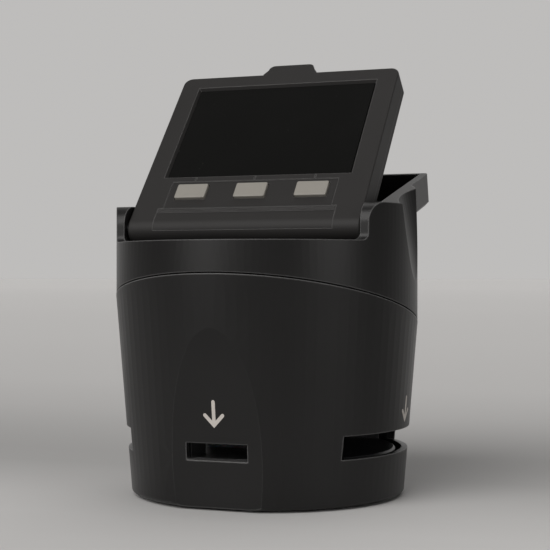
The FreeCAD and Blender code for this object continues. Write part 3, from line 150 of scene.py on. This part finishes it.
def moulding(name):
    """A copy of a moulding with its corners welded, which then gets its finer shape."""
    weld_reach = 0.000002
    mesh = nodes[name].data.copy()
    welded = bmesh.new()
    welded.from_mesh(mesh)
    bmesh.ops.remove_doubles(welded, verts=welded.verts[:], dist=weld_reach)
    welded.to_mesh(mesh)
    welded.free()
    return placed(name + "_fine", mesh)


def oblong(left, low, right, high):
    """A rectangle's four corners."""
    return [(left, low), (right, low), (right, high), (left, high)]


def bar(outline, low, high, place):
    """A straight bar with the given outline, for a cut or a join."""
    mesh = bpy.data.meshes.new("bar")
    shape = bmesh.new()
    ends = [[shape.verts.new(place @ Vector((across, up, along))) for across, up in outline]
            for along in (low, high)]
    shape.faces.new(ends[0])
    shape.faces.new(ends[1])
    for index in range(len(outline)):
        after = (index + 1) % len(outline)
        shape.faces.new((ends[0][index], ends[0][after], ends[1][after], ends[1][index]))
    bmesh.ops.recalc_face_normals(shape, faces=shape.faces[:])
    shape.to_mesh(mesh)
    shape.free()
    return placed("bar", mesh)


def shaped(piece, bars, operation):
    """Cut the bars out of a piece, or join them to it, one after the other."""
    for item in bars:
        step = piece.modifiers.new("step", "BOOLEAN")
        step.operation = operation
        step.solver = "EXACT"
        step.object = item
        seen = piece.evaluated_get(bpy.context.evaluated_depsgraph_get())
        piece.data = bpy.data.meshes.new_from_object(seen)
        piece.modifiers.clear()
        bpy.data.objects.remove(item)


def fitted(piece, name, body, material):
    """Dress a finer moulding and put it in the plain one's place."""
    piece.data.shade_flat()
    piece.data.materials.clear()
    piece.data.materials.append(material)
    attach(piece, body)
    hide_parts(name)


# in this view an outline's points are depth and height, and its bar runs across
SIDE_VIEW = Matrix(((0, 0, 1, 0), (1, 0, 0, 0), (0, 1, 0, 0), (0, 0, 0, 1)))

housing_black = moulded_plastic("housing_black", colour=(0.0082, 0.0079, 0.0079), roughness=0.35,
                                edge=0.0007, edge_highlight=0.8, specular=0.3)

# the mouths of the wide channel, as wide as in the photograph
mouth = oblong(left=-0.035, low=0.0182, right=0.035, high=0.0267)
inside_wall = 0.036
outside_wall = 0.062

tub = moulding("lower_shell")
shaped(tub, [bar(mouth, inside_wall, outside_wall, SIDE_VIEW),
             bar(mouth, -outside_wall, -inside_wall, SIDE_VIEW)], "DIFFERENCE")
fitted(tub, "lower_shell", "housing", housing_black)


# Upper shell: the collar, ears and sloping tray are one moulding in the same black
# plastic, pressed onto the lower shell along the sloping seam. The collar's rim is cut
# down to a small round at the ears' feet, and the tray's edge is notched for the tab.

def rounded_corner(across, up, radius, steps, start=0):
    """A quarter circle round a centre, from the starting angle on."""
    angles = [start + math.pi / 2 * step / steps for step in range(steps + 1)]
    return [(across + radius * math.cos(angle), up + radius * math.sin(angle)) for angle in angles]


hinge = Vector((0, -0.0241, 0.1017))
tray_slope = 14
tray_side = Matrix.Translation(hinge) @ Matrix.Rotation(math.radians(tray_slope), 4, "X") @ SIDE_VIEW
rim_height = 0.0969
ear_front = -0.0310
ear_corner = 0.0025
shell_front = -0.07
shell_side = 0.065
ear_top = 0.115
before_ears = [(shell_front, rim_height)]
before_ears += rounded_corner(ear_front - ear_corner, rim_height + ear_corner, ear_corner, steps=8,
                              start=-math.pi / 2)
before_ears += [(ear_front, ear_top), (shell_front, ear_top)]
notch = oblong(left=0.06, low=0.00015, right=0.10, high=0.03)
notch_half_width = 0.0122

collar = moulding("upper_shell")
shaped(collar, [bar(before_ears, -shell_side, shell_side, SIDE_VIEW),
                bar(notch, -notch_half_width, notch_half_width, tray_side)], "DIFFERENCE")
fitted(collar, "upper_shell", "housing", housing_black)


# Base plate, its four rubber feet and screws: the plate is black plastic with a coarser
# grain, the feet are stuck in round seats, and the screws are zinc plated.

def soft_rubber(name, colour):
    """Dull rubber with a fine speckle."""
    material, tree, shader, place = new_finish(name, specular=0.3)
    speckle = noise(tree, place, scale=1400, detail=4)
    tone = mixed(tree, speckle, shade(colour, 0.8), shade(colour, 1.3))
    tree.links.new(tone, shader.inputs["Base Color"])
    tree.links.new(between(tree, speckle, 0.75, 0.95), shader.inputs["Roughness"])
    bump = relief(tree, speckle, strength=0.4, depth=0.00005)
    tree.links.new(bump.outputs["Normal"], shader.inputs["Normal"])
    return material


def plated_metal(name, colour, roughness, scale, stretch):
    """Plated or machined metal with fine marks that run along the stretch."""
    material, tree, shader, place = new_finish(name)
    shader.inputs["Metallic"].default_value = 1
    along = tree.nodes.new("ShaderNodeMapping")
    along.inputs["Scale"].default_value = stretch
    tree.links.new(place, along.inputs["Vector"])
    marks = noise(tree, along.outputs["Vector"], scale, detail=5)
    tree.links.new(mixed(tree, marks, shade(colour, 0.85), colour), shader.inputs["Base Color"])
    gloss = between(tree, marks, roughness - 0.08, roughness + 0.1)
    tree.links.new(gloss, shader.inputs["Roughness"])
    bump = relief(tree, marks, strength=0.15, depth=0.00002)
    tree.links.new(bump.outputs["Normal"], shader.inputs["Normal"])
    return material


def four(name):
    """The names of four like solids."""
    return [f"{name}_{number}" for number in range(1, 5)]


base_black = moulded_plastic("base_black", colour=(0.014, 0.014, 0.014), roughness=0.62, grain=0.6)
foot_rubber = soft_rubber("foot_rubber", colour=(0.016, 0.016, 0.016))
screw_steel = plated_metal("screw_steel", colour=(0.56, 0.56, 0.58), roughness=0.34, scale=900,
                           stretch=(1, 1, 0.3))
dress(base_black, "base_plate")
dress(foot_rubber, *four("foot"))
dress(screw_steel, *four("base_screw"), *four("board_screw"), *four("display_screw"))


# Film guides: two black mouldings that line the crossing channels. They have a smoother,
# satin finish, on which the adapters slide.

guide_black = moulded_plastic("guide_black", colour=(0.012, 0.012, 0.013), roughness=0.34, grain=0.15,
                              edge=0.0003)
dress(guide_black, "film_guide_lower", "film_guide_upper")


# Backlight under the film: an opal sheet in the channel's floor, over a small board with
# three lamps, which are capped with yellow phosphor.

def milky_sheet(name, colour):
    """Plastic that light sinks into, with a fine haze."""
    material, tree, shader, place = new_finish(name)
    shader.inputs["Subsurface Weight"].default_value = 0.3
    shader.inputs["Subsurface Scale"].default_value = 0.002
    haze = noise(tree, place, scale=500)
    tree.links.new(mixed(tree, haze, shade(colour, 0.94), colour), shader.inputs["Base Color"])
    tree.links.new(between(tree, haze, 0.35, 0.5), shader.inputs["Roughness"])
    return material


dress(milky_sheet("opal_sheet", colour=(0.78, 0.79, 0.77)), "backlight_diffuser")
dress(milky_sheet("lamp_yellow", colour=(0.85, 0.74, 0.30)),
      "backlight_lamp_1", "backlight_lamp_2", "backlight_lamp_3")


# Circuit boards: glass fibre sheet under green lacquer, with the faint pattern of the
# copper tracks under it. The main board hangs from four bosses under the deck.

def lacquered_board(name, colour):
    """Board under lacquer, with a pattern of tracks and a fine weave in its gloss."""
    material, tree, shader, place = new_finish(name)
    shader.inputs["Coat Weight"].default_value = 0.4
    tracks = tree.nodes.new("ShaderNodeTexBrick")
    tracks.inputs["Scale"].default_value = 220
    tracks.inputs["Mortar Size"].default_value = 0.012
    tracks.inputs["Color1"].default_value = (*colour, 1)
    tracks.inputs["Color2"].default_value = (*shade(colour, 0.8), 1)
    tracks.inputs["Mortar"].default_value = (*shade(colour, 1.8), 1)
    tree.links.new(place, tracks.inputs["Vector"])
    tree.links.new(tracks.outputs["Color"], shader.inputs["Base Color"])
    weave = noise(tree, place, scale=2000)
    tree.links.new(between(tree, weave, 0.25, 0.4), shader.inputs["Roughness"])
    return material


dress(lacquered_board("board_green", colour=(0.012, 0.12, 0.045)),
      "backlight_board", "sensor_board", "main_board", "power_board", "display_board")


# Lens tower, lens barrel, its two elements and the image sensor: a black hood over the
# film window, an anodised barrel in its top and coated glass.

def dark_glass(name, tint, roughness, transmission, specular=0.5):
    """Glass with the slight haze and the few specks of dust that cling to it."""
    material, tree, shader, place = new_finish(name, specular)
    shader.inputs["Transmission Weight"].default_value = transmission
    shader.inputs["IOR"].default_value = 1.5
    haze = noise(tree, place, scale=60, detail=4)
    gloss = between(tree, haze, roughness * 0.7, roughness * 1.4)
    tree.links.new(gloss, shader.inputs["Roughness"])
    specks = tree.nodes.new("ShaderNodeTexVoronoi")
    specks.inputs["Scale"].default_value = 260
    tree.links.new(place, specks.inputs["Vector"])
    dust = between(tree, specks.outputs["Distance"], 0, 0.35, start=0.045, end=0.02)
    dust_grey = (0.20, 0.20, 0.18)
    tree.links.new(mixed(tree, dust, tint, dust_grey), shader.inputs["Base Color"])
    return material


hood_black = moulded_plastic("hood_black", colour=(0.010, 0.010, 0.010), roughness=0.6)
anodised_black = plated_metal("anodised_black", colour=(0.03, 0.03, 0.032), roughness=0.38, scale=700,
                              stretch=(1, 1, 4))
lens_glass = dark_glass("lens_glass", tint=(0.80, 0.85, 0.90), roughness=0.03, transmission=1)
sensor_black = moulded_plastic("sensor_black", colour=(0.02, 0.025, 0.04), roughness=0.2, grain=0.05)
dress(hood_black, "lens_tower")
dress(anodised_black, "lens_barrel")
dress(lens_glass, "lens_element_lower", "lens_element_upper")
dress(sensor_black, "image_sensor")


# Sockets at the rear: stamped sheet steel boxes for the memory card, the video lead and
# the power lead, soldered to the main board.

socket_steel = plated_metal("socket_steel", colour=(0.62, 0.62, 0.60), roughness=0.3, scale=600,
                            stretch=(3, 1, 1))
dress(socket_steel, "card_socket", "video_socket", "cable_socket")


# Push switches behind the keys and the power button: small black mouldings, soldered to
# their boards. The power button itself is of the housing's plastic.

switch_black = moulded_plastic("switch_black", colour=(0.02, 0.02, 0.02), roughness=0.45)
dress(switch_black, "power_switch", "button_switch_left", "button_switch_middle",
      "button_switch_right")
dress(housing_black, "power_button")


# Hinge pins: polished steel, pressed into the ears on both sides of the display, with
# fine marks along them.

pin_steel = plated_metal("pin_steel", colour=(0.50, 0.50, 0.52), roughness=0.28, scale=800,
                         stretch=(0.3, 4, 4))
dress(pin_steel, "hinge_pin_left", "hinge_pin_right")


# Display housing: frame, rear cover and hinge cover in dark grey plastic with a satin
# grain, lighter and warmer than the housing. Frame and cover lean back together at their
# end, where the tab stands, and four screws hold the cover.

panel_grey = moulded_plastic("panel_grey", colour=(0.020, 0.0190, 0.0185), roughness=0.50, grain=0.3,
                             edge=0.0004, edge_highlight=0.6, specular=0.2)
dress(panel_grey, "hinge_cover")

panel_slope = 49.2
panel = Matrix.Translation(hinge) @ Matrix.Rotation(math.radians(panel_slope), 4, "X")
panel_side = panel @ SIDE_VIEW
panel_half_width = 0.04640
panel_end = 0.08139
panel_front = 0.00545
panel_split = -0.00285
panel_back = -0.00545
past_panel = panel_end + 0.01
past_side = 0.06
lean_start = 0.00475
lean = 0.0030


def leaning(level):
    """How far along the panel its leaning end stands at a level."""
    return panel_end - lean * (lean_start - level) / (lean_start - panel_back)


# both wedges cut the end to its lean, the low one under the tab
under_tab = 0.00084
beside_tab = 0.0112
wedge = [(panel_end, lean_start), (past_panel, lean_start), (past_panel, panel_back),
         (leaning(panel_back), panel_back)]
low_wedge = [(leaning(under_tab), under_tab), (past_panel, under_tab), (past_panel, panel_back),
             (leaning(panel_back), panel_back)]

# the solid's square tab goes, and one with round corners takes its place
square_tab = oblong(left=-0.0114, low=panel_end - 0.0003, right=0.0114, high=0.09)
below_tab = -0.004
above_tab = 0.007
tab_end = panel_end + 0.005
tab_foot = panel_end - 0.0015
tab_foot_half_width = 0.0115
tab_half_width = 0.0098
tab_corner = 0.0026
tab_low = 0.00085
tab_high = panel_front - 0.00002
tab = [(-tab_foot_half_width, tab_foot), (tab_foot_half_width, tab_foot), (tab_foot_half_width, panel_end)]
tab += rounded_corner(tab_half_width - tab_corner, tab_end - tab_corner, tab_corner, steps=8)
tab += [(-x, y) for x, y in reversed(tab[2:])]

casing = moulding("display_frame")
shaped(casing, [bar(wedge, -past_side, -beside_tab, panel_side),
                bar(wedge, beside_tab, past_side, panel_side),
                bar(low_wedge, -beside_tab, beside_tab, panel_side),
                bar(square_tab, below_tab, above_tab, panel)], "DIFFERENCE")
shaped(casing, [bar(tab, tab_low, tab_high, panel)], "UNION")
fitted(casing, "display_frame", "display", panel_grey)

cover_start = 0.00712
cover_corner = 0.0036
cover_plan = [(-panel_half_width, cover_start), (panel_half_width, cover_start)]
cover_plan += rounded_corner(panel_half_width - cover_corner, panel_end - cover_corner, cover_corner,
                             steps=12)
cover_plan += [(-x, y) for x, y in reversed(cover_plan[2:])]
lip_half_width = 0.0443
lip_low = panel_split - 0.0005
lip_high = -0.0002
lip_foot = 0.0022
lip_edge = 0.0012
lip = [(leaning(panel_split) - lip_foot, lip_low), (leaning(panel_split), lip_low),
       (leaning(lip_high), lip_high), (leaning(lip_high) - lip_edge, lip_high)]
screw_sides = (-0.0414, 0.0414)
screw_lines = (0.0130, panel_end - 0.0053)
sink_radius = 0.00195
sink_corners = 24
sink_low = panel_back - 0.001
sink_high = panel_back + 0.00125
angles = [math.tau * corner / sink_corners for corner in range(sink_corners)]
sinks = [[(x + sink_radius * math.cos(angle), y + sink_radius * math.sin(angle)) for angle in angles]
         for x in screw_sides for y in screw_lines]

cover = placed("display_rear_cover_fine", bpy.data.meshes.new("display_rear_cover_fine"))
shaped(cover, [bar(cover_plan, panel_back, panel_split, panel)], "UNION")
shaped(cover, [bar(wedge, -past_side, past_side, panel_side)], "DIFFERENCE")
shaped(cover, [bar(lip, -lip_half_width, lip_half_width, panel_side)], "UNION")
shaped(cover, [bar(sink, sink_low, sink_high, panel) for sink in sinks], "DIFFERENCE")
fitted(cover, "display_rear_cover", "display", panel_grey)


# Hinge cover's ridges: four fine ribs across the strip, moulded with it just below its top
# edge. One rib is drawn, repeated down the strip and made solid.

ribs = bpy.data.node_groups.new("cover_ribs", "GeometryNodeTree")
for title, kind in (("Count", "Int"), ("Spacing", "Float"), ("Length", "Float"), ("Width", "Float"),
                    ("Finish", "Material")):
    ribs.interface.new_socket(title, in_out="INPUT", socket_type="NodeSocket" + kind)
ribs.interface.new_socket("Geometry", in_out="OUTPUT", socket_type="NodeSocketGeometry")
given = ribs.nodes.new("NodeGroupInput")
made = ribs.nodes.new("NodeGroupOutput")
step_down = ribs.nodes.new("ShaderNodeCombineXYZ")
ribs.links.new(given.outputs["Spacing"], step_down.inputs["Y"])
row = ribs.nodes.new("GeometryNodeMeshLine")
ribs.links.new(given.outputs["Count"], row.inputs["Count"])
ribs.links.new(step_down.outputs["Vector"], row.inputs["Offset"])
section = ribs.nodes.new("ShaderNodeCombineXYZ")
ribs.links.new(given.outputs["Length"], section.inputs["X"])
ribs.links.new(given.outputs["Width"], section.inputs["Y"])
ribs.links.new(given.outputs["Width"], section.inputs["Z"])
rib = ribs.nodes.new("GeometryNodeMeshCube")
ribs.links.new(section.outputs["Vector"], rib.inputs["Size"])
laid = ribs.nodes.new("GeometryNodeInstanceOnPoints")
ribs.links.new(row.outputs["Mesh"], laid.inputs["Points"])
ribs.links.new(rib.outputs["Mesh"], laid.inputs["Instance"])
solid = ribs.nodes.new("GeometryNodeRealizeInstances")
ribs.links.new(laid.outputs["Instances"], solid.inputs["Geometry"])
finish = ribs.nodes.new("GeometryNodeSetMaterial")
ribs.links.new(solid.outputs["Geometry"], finish.inputs["Geometry"])
ribs.links.new(given.outputs["Finish"], finish.inputs["Material"])
ribs.links.new(finish.outputs["Geometry"], made.inputs["Geometry"])

cover_ribs = placed("hinge_cover_ribs", bpy.data.meshes.new("hinge_cover_ribs"))
pattern = cover_ribs.modifiers.new("pattern", "NODES")
pattern.node_group = ribs
rib_sizes = {"Count": 4, "Spacing": -0.00062, "Length": 0.0714, "Width": 0.00026, "Finish": panel_grey}
for socket in ribs.interface.items_tree:
    if socket.name in rib_sizes:
        pattern[socket.identifier] = rib_sizes[socket.name]
seen = cover_ribs.evaluated_get(bpy.context.evaluated_depsgraph_get())
cover_ribs.data = bpy.data.meshes.new_from_object(seen)
cover_ribs.modifiers.clear()
first_rib = Vector((0, 0.0056, panel_front))
cover_ribs.data.transform(panel @ Matrix.Translation(first_rib))
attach(cover_ribs, "display")


# Display window and screen: a dark cover glass in the frame's sloping opening, with the
# switched off screen behind it. The glass stands a little higher than its solid.

screen_glass = dark_glass("screen_glass", tint=(0.0040, 0.0040, 0.0037), roughness=0.16, transmission=0,
                          specular=0.15)
opening_half_width = 0.0384
opening_low = 0.0227
opening_high = panel_end - 0.0065
opening_slope = 0.00102
glass_half_width = opening_half_width - opening_slope
glass = oblong(left=-glass_half_width, low=opening_low + opening_slope,
               right=glass_half_width, high=opening_high - opening_slope)
glass_back = 0.0037
glass_front = 0.0044

pane = moulding("display_window")
shaped(pane, [bar(glass, glass_back, glass_front, panel)], "UNION")
fitted(pane, "display_window", "display", screen_glass)
screen_off = moulded_plastic("screen_off", colour=(0.004, 0.004, 0.005), roughness=0.2, grain=0.02)
dress(screen_off, "lcd_module")


# Function keys: three caps in warm grey plastic that stand a little proud of the panel.
# Each slides in its own opening over a switch.

key_grey = moulded_plastic("key_grey", colour=(0.25, 0.237, 0.211), roughness=0.42, grain=0.25,
                           edge=0.0003, edge_highlight=0.12)
dress(key_grey, "function_button_left", "function_button_middle", "function_button_right")


# Direction arrows: pale ink printed on the lower shell over each channel's mouth, to show
# where the adapters go in. Each is a thin film that follows the shell.

def arrow_outline(length, reach, rise, half_stroke):
    """A down arrow as one outline: its tip's centre line ends at the origin."""
    turn = math.atan2(reach, rise)
    along = Vector((math.sin(turn), math.cos(turn)))
    across = Vector((math.cos(turn), -math.sin(turn)))
    arm = math.hypot(reach, rise)
    right = [Vector((0, -half_stroke / math.sin(turn)))]
    steps = 6
    for step in range(steps + 1):
        bend = math.pi * step / steps
        end = along * (arm + half_stroke * math.sin(bend))
        right.append(end + across * half_stroke * math.cos(bend))
    inner = half_stroke * (1 + math.cos(turn)) / math.sin(turn)
    right.append(along * inner - across * half_stroke)
    shaft_end = length - half_stroke
    for step in range(steps // 2 + 1):
        bend = math.pi * step / steps
        right.append(Vector((half_stroke * math.cos(bend), shaft_end + half_stroke * math.sin(bend))))
    left = [Vector((-point.x, point.y)) for point in reversed(right[1:-1])]
    return right + left


def printed_arrow(name, origin, sideways, outwards, ink):
    """The arrow laid on the lower shell, seen along the outward direction."""
    shell = nodes["lower_shell"].data
    surface = BVHTree.FromPolygons([vertex.co for vertex in shell.vertices],
                                   [face.vertices for face in shell.polygons])
    sheet = bmesh.new()
    outline = arrow_outline(length=0.0091, reach=0.0034, rise=0.0036, half_stroke=0.00066)
    sheet.faces.new([sheet.verts.new((point.x, point.y, 0)) for point in outline])
    sheet.normal_update()
    bmesh.ops.triangulate(sheet, faces=sheet.faces[:])
    bmesh.ops.subdivide_edges(sheet, edges=sheet.edges[:], cuts=3, use_grid_fill=True)
    bmesh.ops.triangulate(sheet, faces=sheet.faces[:])

    well_outside = 0.02
    ink_height = 0.00006
    ink_root = 0.00002
    roots = []
    for vertex in sheet.verts:
        flat = origin + sideways * vertex.co.x + Vector((0, 0, 1)) * vertex.co.y
        spot, normal = surface.ray_cast(flat + outwards * well_outside, -outwards)[:2]
        vertex.co = spot + normal * ink_height
        roots.append((vertex, spot - normal * ink_root))
    below = {vertex: sheet.verts.new(spot) for vertex, spot in roots}
    for face in sheet.faces[:]:
        sheet.faces.new([below[vertex] for vertex in reversed(face.verts)])
    for edge in [edge for edge in sheet.edges if len(edge.link_faces) == 1 and edge.verts[0] in below]:
        first, second = edge.verts
        sheet.faces.new([second, first, below[first], below[second]])
    bmesh.ops.recalc_face_normals(sheet, faces=sheet.faces[:])

    mesh = bpy.data.meshes.new(name)
    sheet.to_mesh(mesh)
    sheet.free()
    mesh.materials.append(ink)
    piece = placed(name, mesh)
    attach(piece, "housing")


arrow_ink = moulded_plastic("arrow_ink", colour=(0.50, 0.465, 0.43), roughness=0.55, grain=0.2,
                            edge=0.00005, edge_highlight=0)
for name, origin, sideways, outwards in (
        ("arrow_front", (-0.0005, -0.056, 0.0309), (1, 0, 0), (0, -1, 0)),
        ("arrow_right", (0.056, -0.0005, 0.0300), (0, 1, 0), (1, 0, 0)),
        ("arrow_left", (-0.056, -0.0005, 0.0300), (0, -1, 0), (-1, 0, 0))):
    printed_arrow(name, Vector(origin), Vector(sideways), Vector(outwards), arrow_ink)


# Studio floor: a pale paper that runs out to a pale room. Its tone holds painted shade: it
# is a little darker in a broad band behind the object, as a painted shadow of the object,
# brightest just in front of it, darker again further in front and lighter towards the rear.

def graded(tree, value, stops):
    """A colour that runs smoothly through the stops, each a value and its colour."""
    grading = tree.nodes.new("ShaderNodeValToRGB")
    ramp = grading.color_ramp
    ramp.interpolation = "B_SPLINE"
    while len(ramp.elements) < len(stops):
        ramp.elements.new(1)
    for element, (position, colour) in zip(ramp.elements, stops):
        element.position = position
        element.color = (*colour, 1)
    tree.links.new(value, grading.inputs["Fac"])
    return grading.outputs["Color"]


# the paper's tone with its painted shade at each depth in metres, from in front of the object to the rear
floor_shade_levels = ((-0.6, 0.36), (-0.40, 0.40), (-0.26, 0.54), (-0.10, 0.58), (-0.04, 0.55),
                (0.03, 0.38), (0.08, 0.36), (0.16, 0.38), (0.28, 0.45), (0.5, 0.51),
                (1.2, 0.54), (3.0, 0.56), (9.0, 0.61))
nearest = -0.6
farthest = 9.8
paper, paper_tree, paper_shader, paper_place = new_finish("studio_paper", specular=0.1)
paper_shader.inputs["Roughness"].default_value = 0.9
apart = paper_tree.nodes.new("ShaderNodeSeparateXYZ")
paper_tree.links.new(paper_place, apart.inputs["Vector"])
depth = between(paper_tree, apart.outputs["Y"], 0, 1, start=nearest, end=farthest)
floor_shade_stops = [((spot - nearest) / (farthest - nearest), (level, level * 0.99, level * 0.98))
               for spot, level in floor_shade_levels]
paper_tree.links.new(graded(paper_tree, depth, floor_shade_stops), paper_shader.inputs["Base Color"])

floor_mesh = bpy.data.meshes.new("studio_floor")
floor_plan = oblong(left=-60, low=-30, right=60, high=90)
floor_mesh.from_pydata([(x, y, 0) for x, y in floor_plan], [], [(0, 1, 2, 3)])
floor_mesh.materials.append(paper)
placed("studio_floor", floor_mesh)


# Room: a pale wall behind the object, dimmer walls at its sides and in front, and a soft
# ceiling. The object reflects the same walls that the camera sees.

world = bpy.data.worlds.new("studio_world")
bpy.context.scene.world = world
world.use_nodes = True
sky = world.node_tree
towards = sky.nodes.new("ShaderNodeTexCoord").outputs["Generated"]
behind = sky.nodes.new("ShaderNodeVectorMath")
behind.operation = "DOT_PRODUCT"
back_wall = (-0.175, 0.468, 0)
behind.inputs[1].default_value = back_wall
sky.links.new(towards, behind.inputs[0])
turn = sky.nodes.new("ShaderNodeMath")
turn.inputs[1].default_value = 0.5
sky.links.new(behind.outputs["Value"], turn.inputs[0])

# the walls' tone, from the wall in front of the object round to the one behind it
wall_levels = ((0.0, 0.24), (0.25, 0.20), (0.42, 0.10), (0.62, 0.09), (0.80, 0.22), (0.90, 0.515),
               (1.0, 0.515))
wall_stops = [(spot, (level, level * 0.985, level * 0.97)) for spot, level in wall_levels]
walls = graded(sky, turn.outputs["Value"], wall_stops)
parts = sky.nodes.new("ShaderNodeSeparateXYZ")
sky.links.new(towards, parts.inputs["Vector"])
overhead = between(sky, parts.outputs["Z"], 0, 1, start=0.35, end=0.85)
overhead.node.interpolation_type = "SMOOTHSTEP"
ceiling_grey = (0.20, 0.197, 0.195)
room = mixed(sky, overhead, walls, ceiling_grey)
sky.links.new(room, sky.nodes["Background"].inputs["Color"])


# Lamps: a wide soft light from high in front on the left, a weaker one from above, and a
# soft box low on each side, which the round housing shows as two broad upright bands.

def soft_sun(name, coming_from, power, spread):
    """A soft lamp from a direction. Its spread is in degrees."""
    lamp = bpy.data.lights.new(name, "SUN")
    lamp.energy = power
    lamp.angle = math.radians(spread)
    lamp.color = (1.0, 0.985, 0.97)
    stand = placed(name, lamp)
    stand.rotation_mode = "QUATERNION"
    stand.rotation_quaternion = Vector(coming_from).to_track_quat("Z", "Y")


soft_sun("key_light", (-0.25, -0.90, 0.75), power=2.0, spread=50)
soft_sun("top_light", (0.10, 0.42, 0.88), power=0.6, spread=56)
soft_sun("box_left", (-0.474, -0.881, 0.20), power=0.46, spread=32)
soft_sun("box_right", (0.940, -0.345, 0.14), power=0.52, spread=34)


# Camera: it stands in front and a little to the right, level with the upper half of the
# object.

camera = bpy.data.cameras.new("photo_camera")
camera.sensor_width = 36
camera.lens = 89.95
camera.clip_start = 0.01
camera.clip_end = 200
stand = placed("photo_camera", camera)
stand.location = (0.19087, -0.50247, 0.08331)
stand.rotation_mode = "QUATERNION"
stand.rotation_quaternion = Vector((-0.35042, 0.93659, 0.00209)).to_track_quat("-Z", "Y")
bpy.context.scene.camera = stand
bpy.context.scene.view_settings.view_transform = "Standard"
